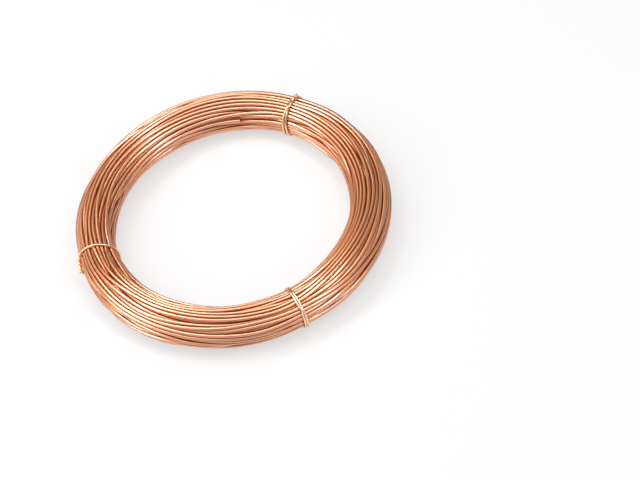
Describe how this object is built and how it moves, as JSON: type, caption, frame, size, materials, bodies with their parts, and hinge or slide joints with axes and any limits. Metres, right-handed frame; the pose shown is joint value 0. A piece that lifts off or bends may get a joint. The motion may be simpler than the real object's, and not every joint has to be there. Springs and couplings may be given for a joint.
{
  "type": "enamelled copper wire coil",
  "caption": "Ring-shaped coil of enamelled copper wire, a round bundle of turns held together by twisted binding wires.",
  "frame": {"origin": "centre of the ring, on the level surface that the coil lies on", "axes": "+Z is the ring's axis and points up; the front binding wire is on the -Y side and the left one on the -X side"},
  "size_m": [0.1827, 0.1824, 0.0244],
  "materials": {
    "wire": "bare-drawn copper under clear glossy enamel",
    "tie_wire": "bright drawn copper"
  },
  "bodies": {
    "root": {"wire_coil": "wire", "tie_left": "tie_wire", "tie_back": "tie_wire", "tie_front": "tie_wire"}
  },
  "joints": []
}
